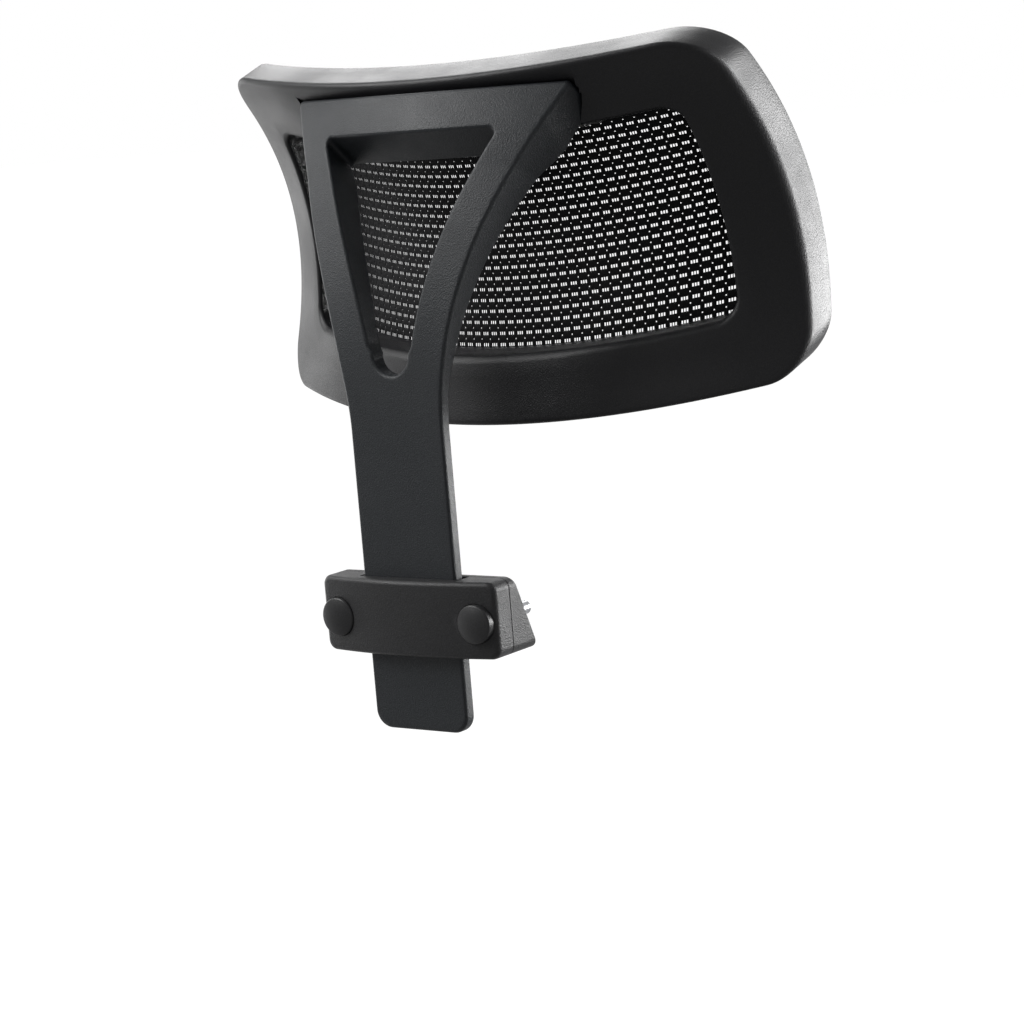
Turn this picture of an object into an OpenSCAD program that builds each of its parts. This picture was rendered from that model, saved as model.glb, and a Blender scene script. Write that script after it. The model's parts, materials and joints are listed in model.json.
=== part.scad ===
// Chair headrest attachment: a wedge clamp for the chair's top rail, a Y-shaped bracket that slides
// in it for height, and a saddle-shaped mesh headrest that tilts on two pins at the bracket's tips.
// X runs left to right, +Y forward towards the sitter's head, +Z up along the bracket's stem.
// The origin is on the clamp's seat face, midway between the two clamp screws.

/* [Clamp] */
// Width of the clamp block
clamp_w = 94; // [88:1:104]
// Height of the clamp block
clamp_h = 33.5; // [32:0.5:38]
// Slope of the seat face against the stem
seat_slope = 22.8; // [15:0.2:25]
// Thickness of the base at screw height
base_t = 12; // [11:0.5:16]
// Distance between the two clamp screws
screw_pitch = 74; // [70:1:76]
// Diameter of the clamp screws
screw_d = 6; // [5:0.5:6]
// How far the screws reach past the seat
screw_out = 12; // [8:1:20]
// Diameter of the screw caps
cap_d = 17; // [15:0.5:18]
// Radius of the cover's bowed rear face
cover_bow_r = 220; // [180:10:400]

/* [Bracket] */
// Width of the stem
stem_w = 50; // [44:1:54]
// Thickness of the stem
stem_t = 6; // [5:0.5:7]
// How far the stem reaches below the screws
stem_low = 50; // [40:1:60]
// Height of the bracket's top edge above the screws
bracket_top = 224; // [218:1:230]
// Height at which the stem starts to widen
flare_from = 82; // [76:1:88]
// How much each side widens from the stem to the top
flare = 50; // [46:1:50]
// Width of each arm beside the opening
arm_w = 18.5; // [17:0.5:20]
// Radius of the forward sweep of the bracket
sweep_r = 260; // [250:5:280]
// Depth of the top bar, square to its rear face
bar_t = 20; // [18:0.5:20]

/* [Headrest] */
// Half width of the rear face at its top
head_half_top = 130; // [124:1:134]
// Half width of the rear face at its widest, near the bottom
head_half_low = 145; // [140:1:150]
// Height of the rear face
head_h = 154; // [150:1:158]
// Depth of the headrest, rear face to front face
head_t = 20; // [19:0.5:22]
// Lean of the headrest against the stem
head_lean = 19; // [17:0.5:21]
// Radius of the headrest's forward bulge, seen from the side
bulge_r = 200; // [180:5:240]
// Forward sweep of the wings, as curvature per millimetre
wing_k = 0.0028; // [0.0024:0.0001:0.0028]
// Half width of the window at its top
window_half_top = 108; // [100:1:110]
// Half width of the window at its bottom
window_half_low = 116; // [115:1:123]

/* [Motion] */
// Travel of the stem above its rest height
travel_up = 20; // [10:1:25]
// Travel of the stem below its rest height
travel_down = 30; // [20:1:35]
// How far the headrest tilts, its bottom edge towards the stem, in degrees
tilt_back = 15; // [0:1:15]

/* [Hidden] */

$fn = 48;
slit = 0.3;                              // gap between parts that slide past each other
fit = 0.05;                              // radial clearance of a running fit
far = 60;                                // reach of cutting tools past the part

// Clamp: everything is stacked forward from the cover's rear face to the seat.
clamp_top = clamp_h / 2 + 1;
clamp_low = clamp_top - clamp_h;
base_y = -base_t;                        // parting plane between cover and base
cover_edge_y = base_y - 10.5;            // rear face at the cover's left and right ends
cover_bow = cover_bow_r - sqrt(pow(cover_bow_r, 2) - pow(clamp_w / 2, 2));
cover_rear_y = cover_edge_y - cover_bow; // rear face at its middle
stem_y = -20.5;                          // rear face of the stem
stem_front_y = stem_y + stem_t;
block_round = 4.5;
guide_t = 1.5;
guide_h = clamp_h - 8;
channel_w = stem_w + 2 * slit + 2 * guide_t;
screw_x = screw_pitch / 2;
head_seat_y = -17.5;                     // face in the cover that the screw heads press on
washer_t = 1.6;
washer_r = 6.2;
screw_head_r = 5;
screw_head_h = 3.3;
hex_d = 4.6;                             // hex socket in the head, across its corners
shank_r = screw_d / 2 - 0.3;
thread_from_y = -2;                      // where the screw's plain shank ends and its thread starts
relief_r = screw_d / 2 + 1.3;            // relief round the thread where it leaves the sloping seat
relief_y = -3;                           // the seat is relieved round the screws from here on
cap_seat_y = -22.9;                      // floor of the shallow recess that each cap sits in
cap_rim_y = -26.2;                       // where a cap's side ends and its dome starts
cap_dome = 1.6;
pad_x = 9;
pad_h = 14;
spring_h = 12;
spring_t = 0.8;
spring_half = 20;
spring_z = 4;                            // height of the spring's and the pad's middle
stop_pin_r = 2.5;
stop_pin_z = -9.5;
stop_groove_d = 2.4;

// Bracket: its rear face is flat on the stem, then a forward arc about a sideways axis,
// and it bows forward towards its two tips.
sweep_from = 105;
bow_k = 0.003;
bow_full = 190;
flare_rise = bracket_top - flare_from;
flare_power = 1.7;
opening_low = 102;
opening_r = 9.5;
opening_top = 207;
low_round = 8;
top_sweep = asin((bracket_top - sweep_from) / sweep_r);
opening_sweep = asin((opening_top - sweep_from) / sweep_r);

// Hinge between the bracket's tips and the headrest.
pivot_y = 42.3;
pivot_z = 207.7;
pin_r = 2.25;
pin_head_r = 3.6;
pin_head_t = 2;
knuckle_r = 4.1;
knuckle_in = 58;
knuckle_out = 66;
neck_r = 3.8;
neck_back = 12;                          // from the hinge axis back to the neck's root in the arm
bush_r = 3.3;
bush_in = 68;
bush_out = 75;
flange_r = 4.4;
flange_t = 1;
washer_gap = 0.1;
pocket_low = 186;                        // height on the bracket's rear face where the pocket ends
pocket_gap = 1.2;                        // room round the top bar, above and in front
pocket_side = 3;                         // room beside the bracket's tips, for the tilt

// Headrest, in its own frame: x sideways, y its depth, z its height, all from the hinge axis.
rear_gap = 18.7;                         // from the hinge axis back to the rear face at its middle
bulge_z = -14;
wing_z = -64;
wing_fade = 1.26e-7;
head_top = 30;
head_low = head_top - head_h;
window_top = -1.5;
window_low = -96;
top_rail_half = 95;                      // the top rail stays solid this far to each side
carrier_t = 4;
frame_t = head_t - carrier_t;
wall_t = 3.2;
mesh_t = 1.2;
rebate_t = 1.8;
rebate_w = 8;
mesh_lap = 4.4;
spline_w = 2.8;
lay_gap = 0.25;                          // between curved faces that lie on each other
channel_d = 7.5;                         // depth of the frame's front channel
outer_wall = 2.2;                        // wall that reaches forward round the carrier
ledge_in = 5.6;                          // from the rim to the inner edge of the carrier's ledge

function sq(a) = a * a;

// ---- Curves of the bracket ----
function half_w(z) = stem_w / 2 + flare * pow(max(0, z - flare_from) / flare_rise, flare_power);
function opening_half(z) = z <= opening_low ? 2
  : z < opening_low + opening_r
    ? max(2, sqrt(sq(opening_r) - sq(opening_low + opening_r - z)))
    : half_w(min(z, opening_top)) - arm_w;
function bow(z) = bow_k * min(1, max(0, z - sweep_from) / (bow_full - sweep_from));
function depth(z) = stem_t + (bar_t - stem_t) * min(1, max(0, z - 95) / 105);
// A station of the bracket is [height, sweep angle, half width].
stations = concat(
  [for (a = [0 : 22.5 : 90]) let (z = -stem_low + low_round * (1 - cos(a)))
    [z, 0, stem_w / 2 - low_round * (1 - sin(a))]],
  [for (z = [0, 40, 80, 92]) [z, 0, half_w(z)]],
  [for (z = [opening_low, opening_low + opening_r * 0.12, opening_low + opening_r * 0.4,
    opening_low + opening_r * 0.75, opening_low + opening_r])
    [z, z > sweep_from ? asin((z - sweep_from) / sweep_r) : 0, half_w(z)]],
  [for (i = [1 : 12]) let (a0 = asin((opening_low + opening_r - sweep_from) / sweep_r),
    a = a0 + (opening_sweep - a0) * i / 12, z = sweep_from + sweep_r * sin(a)) [z, a, half_w(z)]],
  [for (i = [1 : 3]) let (a = opening_sweep + (top_sweep - opening_sweep) * i / 3,
    z = sweep_from + sweep_r * sin(a)) [z, a, half_w(z)]]);
hole_first = 9;                          // station at the bottom of the opening
hole_last = 25;                          // station at the top of the opening
arm_cols = 4;                            // columns of faces across one arm
mid_cols = 6;                            // columns of faces between the arms
right_col = arm_cols + mid_cols;         // column of points where the right arm starts
cols = 2 * arm_cols + mid_cols + 1;
function col_x(st, c) = let (w = st[2], v = min(opening_half(st[0]), w - 4))
  c <= arm_cols ? -w + (w - v) * c / arm_cols
  : c < right_col ? v * (2 * (c - arm_cols) / mid_cols - 1)
  : v + (w - v) * (c - right_col) / arm_cols;
function sweep_y(st) = stem_y + sweep_r * (1 - cos(st[1]));
function rear_pt(st, x) = [x, sweep_y(st) + bow(st[0]) * sq(x), st[0]];
function front_pt(st, x) = rear_pt(st, x) + depth(st[0]) * [0, cos(st[1]), -sin(st[1])];

module bracket_plate() {
  rows = len(stations);
  layer = rows * cols;
  is_hole = function (r, c) c >= arm_cols && c < right_col && r >= hole_first && r < hole_last;
  pts = [for (side = [0, 1], st = stations, c = [0 : cols - 1]) let (x = col_x(st, c))
    side == 0 ? rear_pt(st, x) : front_pt(st, x)];
  id = function (side, r, c) side * layer + r * cols + c;
  skin = [for (r = [0 : rows - 2], c = [0 : cols - 2]) if (!is_hole(r, c))
    each [[id(0, r, c), id(0, r, c + 1), id(0, r + 1, c + 1)],
      [id(0, r, c), id(0, r + 1, c + 1), id(0, r + 1, c)],
      [id(1, r, c), id(1, r + 1, c + 1), id(1, r, c + 1)],
      [id(1, r, c), id(1, r + 1, c), id(1, r + 1, c + 1)]]];
  wall = function (a, b) [[id(0, a[0], a[1]), id(1, a[0], a[1]), id(1, b[0], b[1])],
    [id(0, a[0], a[1]), id(1, b[0], b[1]), id(0, b[0], b[1])]];
  last = cols - 1;
  top = rows - 1;
  edges = concat(
    [for (c = [0 : cols - 2]) each wall([0, c], [0, c + 1])],
    [for (c = [0 : cols - 2]) each wall([top, c + 1], [top, c])],
    [for (r = [0 : rows - 2]) each wall([r + 1, 0], [r, 0])],
    [for (r = [0 : rows - 2]) each wall([r, last], [r + 1, last])],
    [for (r = [hole_first : hole_last - 1]) each wall([r, arm_cols], [r + 1, arm_cols])],
    [for (r = [hole_first : hole_last - 1]) each wall([r + 1, right_col], [r, right_col])],
    [for (c = [arm_cols : right_col - 1]) each wall([hole_first, c + 1], [hole_first, c])],
    [for (c = [arm_cols : right_col - 1]) each wall([hole_last, c], [hole_last, c + 1])]);
  polyhedron(pts, [for (f = concat(skin, edges)) [f[0], f[2], f[1]]]);
}

// ---- Curves of the headrest ----
function rear_d(x, z) = -rear_gap - sq(z - bulge_z) / (2 * bulge_r)
  + sq(x) * (wing_k - wing_fade * sq(z - wing_z));
function on_head(x, z, d) = [x, rear_d(x, z) + d, z];

// A rounded four-sided outline, symmetric about x = 0, as a closed list of [x, z].
// Each corner is an arc, and each straight side is divided so that it can follow the saddle.
corner_n = 8;
function mix(a, b, t) = a + (b - a) * t;
function corner(p, before, after, r) = let (
    u = (before - p) / norm(before - p), w = (after - p) / norm(after - p),
    half = acos(u * w) / 2, reach = r / tan(half),
    mid = p + (u + w) / norm(u + w) * r / sin(half), a = p + u * reach - mid, b = p + w * reach - mid,
    a0 = atan2(a[1], a[0]), turn = atan2(b[1], b[0]) - a0,
    sweep = turn > 180 ? turn - 360 : turn < -180 ? turn + 360 : turn)
  [for (i = [0 : corner_n]) mid + r * [cos(a0 + sweep * i / corner_n), sin(a0 + sweep * i / corner_n)]];
function outline(half_top, half_low, top, low, r_top, r_low) = let (
    p = [[half_top, top], [-half_top, top], [-half_low, low], [half_low, low]],
    c = [corner(p[0], p[3], p[1], r_top), corner(p[1], p[0], p[2], r_top),
      corner(p[2], p[1], p[3], r_low), corner(p[3], p[2], p[0], r_low)],
    n = [18, 8, 18, 8])
  [for (k = [0 : 3]) each concat(c[k], [for (i = [1 : n[k] - 1])
    mix(c[k][corner_n], c[(k + 1) % 4][0], i / n[k])])];

rim = outline(head_half_top, head_half_low, head_top, head_low, 22, 15);
window = outline(window_half_top, window_half_low, window_top, window_low, 9, 8);
stations_n = len(rim);

// A ring that runs round the window. Its section is a list of [share, outward, depth], where share
// goes from 0 at the window to 1 at the rim, and outward is a further step in millimetres.
function ring_pt(i, s) = let (a = window[i], b = rim[i], q = mix(a, b, s[0]) + (b - a) / norm(b - a) * s[1])
  on_head(q[0], q[1], s[2]);
module ring(section) {
  m = len(section(0));
  pts = [for (i = [0 : stations_n - 1]) each [for (s = section(i)) ring_pt(i, s)]];
  polyhedron(pts, [for (i = [0 : stations_n - 1], j = [0 : m - 1])
    let (a = i * m + j, b = i * m + (j + 1) % m, c = ((i + 1) % stations_n) * m + j,
      d = ((i + 1) % stations_n) * m + (j + 1) % m)
    each [[a, d, b], [a, c, d]]]);
}

// Frame section: window wall, bevelled inner edge, rear face, rounded outer edge, outer wall with
// a ledge that the carrier sits on inside it, and a channel that is open to the front, except in
// the top rail, which stays solid round the hinge pocket.
frame_front = frame_t - lay_gap;
function is_top_rail(i) = rim[i][1] > head_top - 3
  || window[i][1] > window_top - 3 && abs(window[i][0]) < top_rail_half;
frame_section = function (i) let (f = frame_front - (is_top_rail(i) ? 1 : channel_d))
  [[0, 0, frame_front], [0, 0, 4], [0, 4, 0], [0.4, 0, 0], [0.7, 0, 0], [1, -4, 0],
   [1, -1.2, 1.2], [1, 0, 4], [1, 0.5, head_t - 1.2], [1, -0.7, head_t], [1, -outer_wall, head_t],
   [1, -outer_wall, frame_front], [1, -ledge_in, frame_front],
   [1, -ledge_in, f], [0.5, 0, f], [0, wall_t, f], [0, wall_t, frame_front]];
mesh_rear = head_t - rebate_t + lay_gap;
carrier_out = -outer_wall - lay_gap;
carrier_section = function (i)
  [[0, 0.4, frame_t], [0.5, 0, frame_t], [1, carrier_out, frame_t], [1, carrier_out, head_t - 0.5],
   [1, carrier_out - 0.5, head_t], [0, rebate_w, head_t], [0, rebate_w, head_t - rebate_t],
   [0, 0.4, head_t - rebate_t]];
spline_in = mesh_lap + 0.2;
spline_section = function (i)
  [[0, spline_in, mesh_rear], [0, spline_in + spline_w, mesh_rear],
   [0, spline_in + spline_w, head_t - 0.3], [0, spline_in, head_t - 0.3]];

// The mesh is one curved plate that reaches a little way over the carrier.
module mesh_plate() {
  n = stations_n;
  mid = [0, (window_top + window_low) / 2];
  steps = [1, 0.93, 0.8, 0.6, 0.4, 0.2];
  edge = [for (i = [0 : n - 1]) let (a = window[i], b = rim[i]) a + (b - a) / norm(b - a) * mesh_lap];
  pts = concat([for (d = [mesh_rear, mesh_rear + mesh_t], t = steps, i = [0 : n - 1])
    let (q = mix(mid, edge[i], t)) on_head(q[0], q[1], d)],
    [for (d = [mesh_rear, mesh_rear + mesh_t]) on_head(mid[0], mid[1], d)]);
  rings = len(steps);
  id = function (side, k, i) (side * rings + k) * n + i % n;
  centre = 2 * rings * n;
  polyhedron(pts, [for (i = [0 : n - 1]) each concat(
    [for (k = [0 : rings - 2]) each [
      [id(0, k, i), id(0, k + 1, i), id(0, k + 1, i + 1)],
      [id(0, k, i), id(0, k + 1, i + 1), id(0, k, i + 1)],
      [id(1, k, i), id(1, k + 1, i + 1), id(1, k + 1, i)],
      [id(1, k, i), id(1, k, i + 1), id(1, k + 1, i + 1)]]],
    [[id(0, rings - 1, i), centre, id(0, rings - 1, i + 1)],
     [id(1, rings - 1, i), id(1, rings - 1, i + 1), centre + 1],
     [id(0, 0, i), id(1, 0, i + 1), id(1, 0, i)],
     [id(0, 0, i), id(0, 0, i + 1), id(1, 0, i + 1)]])]);
}

// Puts a shape drawn in the headrest's own frame in its place.
module in_head() translate([0, pivot_y, pivot_z]) rotate([head_lean, 0, 0]) children();
// A cylinder along X from one x to another.
module across(r, x0, x1) translate([x0, 0, 0]) rotate([0, 90, 0]) cylinder(r = r, h = x1 - x0);
// A cylinder along Y from one y to another.
module forward(r, y0, y1) translate([0, y0, 0]) rotate([-90, 0, 0]) cylinder(r = r, h = y1 - y0);
// Copies a shape to the other side.
module both() {
  children();
  mirror([1, 0, 0]) children();
}
module side(s) {
  if (s > 0) children();
  else mirror([1, 0, 0]) children();
}

// ---- Clamp ----
module block_outline() {
  w = clamp_w / 2 - block_round;
  h = clamp_h / 2 - block_round;
  translate([0, (clamp_top + clamp_low) / 2]) {
    square([2 * w + 2 * block_round, 2 * h], center = true);
    square([2 * w, 2 * h + 2 * block_round], center = true);
    for (x = [-w, w], z = [-h, h]) translate([x, z]) circle(block_round);
  }
}
// The clamp block as a bar along Y.
module block(y0, y1) translate([0, y1, 0]) rotate([90, 0, 0]) linear_extrude(y1 - y0) block_outline();

module clamp_cover() color("#26282a") difference() {
  intersection() {
    block(cover_rear_y - 1, base_y);
    translate([0, cover_rear_y + cover_bow_r, -far])
      cylinder(r = cover_bow_r, h = 2 * far, $fn = 200);
  }
  // channel for the stem and its guides
  translate([-channel_w / 2, stem_y - slit, -far]) cube([channel_w, far, 2 * far]);
  // screw holes, head pockets and washer seats
  for (s = [-1, 1]) translate([s * screw_x, 0, 0]) {
    forward(screw_d / 2 + 0.3, -far, 1);
    forward(washer_r + 0.3, -far, head_seat_y);
    forward(cap_d / 2 + 0.1, -far, cap_seat_y);
  }
}

module seat_cut() rotate([seat_slope, 0, 0]) translate([-far, 0, -far]) cube([2 * far, far, 2 * far]);

module spring_well(half, deep) translate([-half, base_y - 1, spring_z - spring_h / 2 - 0.5])
  cube([2 * half, deep + 1, spring_h + 1]);

module clamp_base() color("#222426") difference() {
  block(base_y, 12);
  seat_cut();
  for (s = [-1, 1]) translate([s * screw_x, 0, 0]) {
    forward(screw_d / 2 + fit, base_y - 1, far);
    forward(relief_r, relief_y, far);
  }
  // shallow well for the leaf spring, deeper in the middle where the spring bends
  spring_well(spring_half + 6.5, 1.2);
  spring_well(spring_half - 5, 2.6);
  translate([0, 0, stop_pin_z]) forward(stop_pin_r, base_y - 1, base_y + 8);
  both() translate([spring_screw_x, 0, spring_z]) forward(spring_screw_r, base_y, base_y + 6);
}

module clamp_screw(s) color("silver") translate([s * screw_x, 0, 0]) difference() {
  union() {
    forward(shank_r, head_seat_y - washer_t, thread_from_y);
    forward(screw_d / 2, thread_from_y, screw_out);
    forward(screw_head_r, head_seat_y - washer_t - screw_head_h, head_seat_y - washer_t);
  }
  translate([0, head_seat_y - washer_t - screw_head_h - 1, 0]) rotate([-90, 0, 0])
    cylinder(d = hex_d, h = 3, $fn = 6);
}
module clamp_screw_left() clamp_screw(-1);
module clamp_screw_right() clamp_screw(1);

module clamp_washers() color("silver") both() translate([screw_x, 0, 0]) difference() {
  forward(washer_r, head_seat_y - washer_t, head_seat_y);
  forward(screw_d / 2 + fit, -far, 0);
}

// Low dome that closes a screw's pocket. Its skirt grips the pocket's wall.
cap_dome_r = (sq(cap_d / 2) + sq(cap_dome)) / (2 * cap_dome);
module cap(s) color("#202224") translate([s * screw_x, 0, 0]) {
  intersection() {
    forward(cap_d / 2, cap_rim_y - cap_dome, cap_seat_y);
    translate([0, cap_rim_y - cap_dome + cap_dome_r, 0]) sphere(r = cap_dome_r, $fn = 96);
  }
  difference() {
    forward(washer_r + 0.2, cap_seat_y - 0.5, cap_seat_y + 1.8);
    forward(screw_head_r + 0.3, cap_seat_y, 1);
  }
}
module cap_left() cap(-1);
module cap_right() cap(1);

module stem_guide(s) color("#d8d8d4") side(s)
  translate([stem_w / 2 + slit, stem_y, (clamp_top + clamp_low - guide_h) / 2])
    cube([guide_t, base_y - stem_y, guide_h]);
module stem_guide_left() stem_guide(-1);
module stem_guide_right() stem_guide(1);

// Bowed strip: flat feet under the screws, and a straight raised middle that carries the pad.
spring_screw_x = spring_half + 3;
spring_screw_r = 1.2;
spring_foot_y = base_y + 0.3;            // rear face of the strip's feet
spring_line = [for (x = [-spring_half - 6, -spring_half + 3, -pad_x, pad_x, spring_half - 3, spring_half + 6])
  [x, abs(x) > pad_x ? spring_foot_y + spring_t / 2 : base_y - 0.2 - spring_t / 2]];
module leaf_spring() color("#8d9093") difference() {
  translate([0, 0, spring_z - spring_h / 2]) linear_extrude(spring_h) polygon(concat(
    [for (p = spring_line) [p[0], p[1] + spring_t / 2]],
    [for (i = [len(spring_line) - 1 : -1 : 0]) spring_line[i] - [0, spring_t / 2]]));
  both() translate([spring_screw_x, 0, spring_z]) forward(spring_screw_r + 0.2, -far, far);
}
module spring_screws() color("silver") both() translate([spring_screw_x, 0, spring_z]) {
  forward(spring_screw_r, spring_foot_y, base_y + 6);
  forward(2.2, spring_foot_y - 1.2, spring_foot_y);
}
module pressure_pad() color("#e8e6e0") translate([-pad_x, stem_front_y + 0.02, spring_z - pad_h / 2])
  cube([2 * pad_x, base_y - 0.2 - spring_t - stem_front_y - 0.02, pad_h]);
module stop_pin() color("silver") translate([0, 0, stop_pin_z])
  forward(stop_pin_r, stem_front_y - stop_groove_d + 0.3, base_y + 8);

// ---- Bracket ----
module y_bracket() color("#2c2f31") difference() {
  union() {
    bracket_plate();
    both() hull() {
      translate([0, pivot_y, pivot_z]) across(knuckle_r, knuckle_in, knuckle_out, $fn = 32);
      translate([0, pivot_y - neck_back, pivot_z - 1])
        across(neck_r, knuckle_in, knuckle_out - 3.5, $fn = 32);
    }
  }
  both() translate([0, pivot_y, pivot_z]) across(pin_r, knuckle_in - 1, knuckle_out + 1);
  // groove that the stop pin runs in
  translate([-stop_pin_r - slit, stem_front_y - stop_groove_d, stop_pin_z - travel_up - stop_pin_r])
    cube([2 * stop_pin_r + 2 * slit, 9, travel_up + travel_down + 2 * stop_pin_r]);
}

module pivot_pin(s) color("silver") side(s) translate([0, pivot_y, pivot_z]) {
  across(pin_r, knuckle_in - 0.1, bush_out - 0.6);
  across(pin_head_r, knuckle_in - pin_head_t, knuckle_in);
}
module pivot_pin_left() pivot_pin(-1);
module pivot_pin_right() pivot_pin(1);

module friction_washer(s) color("#b9a46a") side(s) translate([0, pivot_y, pivot_z]) difference() {
  across(flange_r, knuckle_out + washer_gap, bush_in - flange_t - washer_gap);
  across(pin_r + fit, knuckle_out - 1, bush_in + 1);
}
module friction_washer_left() friction_washer(-1);
module friction_washer_right() friction_washer(1);

// ---- Headrest ----
// Room for the top bar: the bracket's own outline, made larger all round.
module bar_room() {
  n = 6;
  a0 = asin((pocket_low - sweep_from) / sweep_r);
  lift = pocket_gap / sweep_r * 180 / PI;
  rows = [for (i = [0 : 6]) let (a = a0 + (top_sweep + lift - a0) * i / 6, z = sweep_from + sweep_r * sin(a))
    [z, a, half_w(min(z, bracket_top)) + pocket_side]];
  m = 2 * n + 1;
  layer = len(rows) * m;
  pts = [for (reach = [-30, bar_t + pocket_gap], st = rows, c = [-n : n])
    rear_pt(st, st[2] * c / n) + reach * [0, cos(st[1]), -sin(st[1])]];
  top = (len(rows) - 1) * m;
  skin = [for (r = [0 : len(rows) - 2], c = [0 : m - 2]) let (k = r * m + c)
    each [[k, k + m + 1, k + 1], [k, k + m, k + m + 1],
      [k + layer, k + 1 + layer, k + m + 1 + layer], [k + layer, k + m + 1 + layer, k + m + layer]]];
  wall = function (a, b) [[a, b + layer, a + layer], [a, b, b + layer]];
  polyhedron(pts, concat(skin,
    [for (c = [0 : m - 2]) each wall(c, c + 1)],
    [for (c = [0 : m - 2]) each wall(top + c + 1, top + c)],
    [for (r = [0 : len(rows) - 2]) each wall((r + 1) * m, r * m)],
    [for (r = [0 : len(rows) - 2]) each wall(r * m + m - 1, (r + 1) * m + m - 1)]));
}

// The room that the bar needs over the headrest's whole tilt.
module bar_pocket() for (a = [0, tilt_back / 2, tilt_back])
  translate([0, pivot_y, pivot_z]) rotate([a, 0, 0]) translate([0, -pivot_y, -pivot_z]) bar_room();

slot_in = knuckle_in - pin_head_t - 0.5;
slot_front = knuckle_r + 0.9;
slot_top = knuckle_r + 5;                // the neck rises behind the hinge axis, so the slot is taller there
module headrest_frame() color("#1d1f21") difference() {
  in_head() ring(frame_section);
  bar_pocket();
  in_head() both() {
    // room for the bracket's knuckles, open to the rear and to the window
    translate([slot_in, -far, -far])
      cube([bush_in - flange_t - slot_in, far + slot_front, far + slot_top]);
    across(bush_r, bush_in - flange_t - 1, bush_out);
    across(flange_r + 0.1, bush_in - flange_t - 1, bush_in);
  }
}

module mesh_carrier() color("#1d1f21") in_head() ring(carrier_section);
module mesh_spline() color("#151617") in_head() ring(spline_section);
module mesh_panel() color("#3a3c3e") in_head() mesh_plate();

module pivot_bush(s) color("#e8e6e0") side(s) in_head() difference() {
  union() {
    across(bush_r, bush_in - flange_t, bush_out);
    across(flange_r, bush_in - flange_t, bush_in);
  }
  across(pin_r + fit, bush_in - flange_t - 1, bush_out + 1);
}
module pivot_bush_left() pivot_bush(-1);
module pivot_bush_right() pivot_bush(1);

clamp_cover();
clamp_base();
clamp_screw_left();
clamp_screw_right();
clamp_washers();
cap_left();
cap_right();
stem_guide_left();
stem_guide_right();
leaf_spring();
spring_screws();
pressure_pad();
stop_pin();
y_bracket();
pivot_pin_left();
pivot_pin_right();
friction_washer_left();
friction_washer_right();
headrest_frame();
mesh_carrier();
mesh_panel();
mesh_spline();
pivot_bush_left();
pivot_bush_right();
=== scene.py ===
import json
import math

import bmesh
import bpy
import numpy as np
from mathutils import Matrix, Vector


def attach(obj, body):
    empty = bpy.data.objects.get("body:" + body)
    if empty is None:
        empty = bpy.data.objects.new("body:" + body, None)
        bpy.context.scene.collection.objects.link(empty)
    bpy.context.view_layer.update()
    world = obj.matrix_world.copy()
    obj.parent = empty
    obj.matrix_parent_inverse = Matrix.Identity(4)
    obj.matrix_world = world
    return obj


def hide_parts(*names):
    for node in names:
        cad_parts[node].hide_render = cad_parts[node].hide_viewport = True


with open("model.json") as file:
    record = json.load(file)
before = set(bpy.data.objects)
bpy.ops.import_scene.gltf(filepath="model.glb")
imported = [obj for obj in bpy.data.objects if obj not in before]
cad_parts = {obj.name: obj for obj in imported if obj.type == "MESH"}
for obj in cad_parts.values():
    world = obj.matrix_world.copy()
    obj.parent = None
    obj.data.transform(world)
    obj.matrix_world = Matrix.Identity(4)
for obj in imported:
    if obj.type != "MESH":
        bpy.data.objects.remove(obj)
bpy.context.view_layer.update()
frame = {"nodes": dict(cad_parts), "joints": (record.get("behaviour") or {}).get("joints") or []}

# Every size below is in millimetres in the row frame, and is turned into metres as a mesh is made.
MM = 0.001

# ---- The part's measures, mostly repeated from the CAD ----
# OPENING_LOW, OPENING_DROP, DRAFT and the pocket's values belong to the visual model alone.
CLAMP_W, CLAMP_TOP, CLAMP_LOW = 94.0, 17.75, -15.75
CLAMP_ROUND = 4.5
BASE_Y = -12.0
SEAT_SLOPE = math.radians(22.8)
COVER_BOW_R = 220.0
COVER_EDGE_Y = BASE_Y - 10.5
SCREW_X = 37.0
CAP_R, CAP_SEAT_Y, CAP_RIM_Y, CAP_DOME = 8.5, -22.9, -26.2, 1.6
WASHER_POCKET_R, HEAD_SEAT_Y = 6.5, -17.5
RELIEF_R, RELIEF_Y = 4.3, -3.0
CHANNEL_W = 53.6
SLIT = 0.3
SPRING_Z, SPRING_H, SPRING_HALF = 4.0, 12.0, 20.0
# The room behind the spring, as (half length, depth): its seat, and the deeper part for its bow.
SPRING_ROOM = ((SPRING_HALF + 6.5, 1.2), (SPRING_HALF - 5, 2.6))
COVER_EDGE_R, JOINT_EDGE_R, BASE_EDGE_R = 2.2, 0.4, 1.6
COVER_HOLE_R, BASE_HOLE_R = 3.3, 3.05
STOP_HOLE_R, STOP_HOLE_D, STOP_PIN_Z = 2.5, 8, -9.5
CAP_GAP = 0.25
SKIRT_OUT, SKIRT_IN, SKIRT_H = 6.4, 5.3, 1.8
# How far the cutters run past the part, and past the clamp's seat.
FAR, PAST_SEAT = 60.0, 40

STEM_Y, STEM_T, STEM_W = -20.5, 6.0, 50.0
STEM_LOW, BRACKET_TOP = -50.0, 224.0
LOW_ROUND = 8.0
FLARE_FROM, FLARE, FLARE_POWER = 82.0, 50.0, 1.7
THICKEN_FROM, THICKEN_OVER = 95.0, 105.0
ARM_W = 18.5
SWEEP_FROM, SWEEP_R = 105.0, 260.0
BOW_K, BOW_FULL = 0.003, 190.0
BAR_T = 20.0
OPENING_LOW, OPENING_TOP, OPENING_R = 105.5, 207.0, 9.5
OPENING_FILLET, TIP_FILLET, TIP_RUN = 2.6, 2.0, 8
BRACKET_REAR_EDGE, BRACKET_FRONT_EDGE = 1.6, 1.2
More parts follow.
